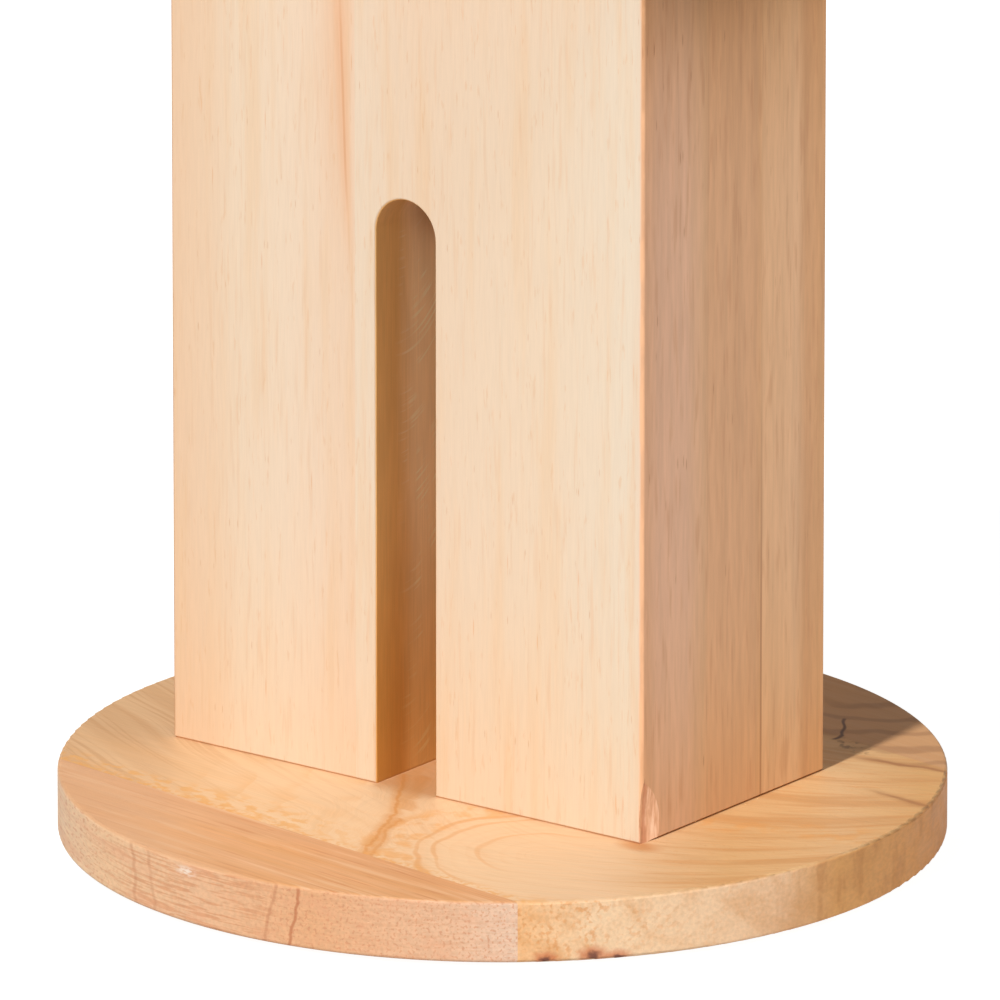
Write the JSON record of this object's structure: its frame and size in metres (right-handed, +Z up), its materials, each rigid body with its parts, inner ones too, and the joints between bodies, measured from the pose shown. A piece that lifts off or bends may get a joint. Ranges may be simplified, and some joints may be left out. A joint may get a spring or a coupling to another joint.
{
  "type": "paper towel holder",
  "caption": "Free-standing wooden paper towel holder: round base, slotted laminated column, and a turning roll plate with a spindle and knob.",
  "frame": {"origin": "centre of the round base, on the surface that the anti-slip pads stand on", "axes": "+Z up; +X to the right along the column's front face; +Y from the column's front face to its rear face"},
  "size_m": [0.18, 0.18, 0.52],
  "materials": {
    "base_wood": "satin oiled hardwood, honey yellow with arched grain",
    "base_wood_orange": "satin oiled hardwood, orange-pink with straight grain",
    "column_wood": "smooth pale hardwood, fine straight grain",
    "column_wood_warm": "smooth pale hardwood, slightly warmer",
    "turned_wood": "smooth turned pale hardwood",
    "dowel_wood": "plain beech dowel",
    "pad_rubber": "matt",
    "slip_nylon": "natural nylon",
    "bush_bronze": "sintered bronze",
    "zinc_steel": "zinc-plated"
  },
  "bodies": {
    "stand": {"base_board_front": "base_wood_orange", "base_board_middle": "base_wood", "base_board_rear": "base_wood_orange", "rubber_pads": "pad_rubber", "column_front_stave_left": "column_wood_warm", "column_front_stave_right": "column_wood", "column_middle_stave_left": "column_wood", "column_middle_stave_right": "column_wood", "column_rear_stave_left": "column_wood_warm", "column_rear_stave_right": "column_wood", "column_dowels": "dowel_wood", "base_screws": "zinc_steel", "pivot_bolt": "zinc_steel", "slip_disc": "slip_nylon", "pivot_washer": "zinc_steel", "pivot_lock_nut": "zinc_steel"},
    "turntable": {"plate_board_front": "base_wood_orange", "plate_board_middle": "base_wood", "plate_board_rear": "base_wood_orange", "plate_bush": "bush_bronze", "core_hub": "turned_wood", "hub_screws": "zinc_steel", "spindle": "turned_wood", "finial_knob": "turned_wood", "knob_screw": "zinc_steel"}
  },
  "joints": [
    {"name": "roll_plate_spin", "type": "hinge", "parent": "stand", "child": "turntable", "pos_m": [-0.005, 0.0051, 0.2055], "axis": [0, 0, 1], "continuous": true}
  ]
}
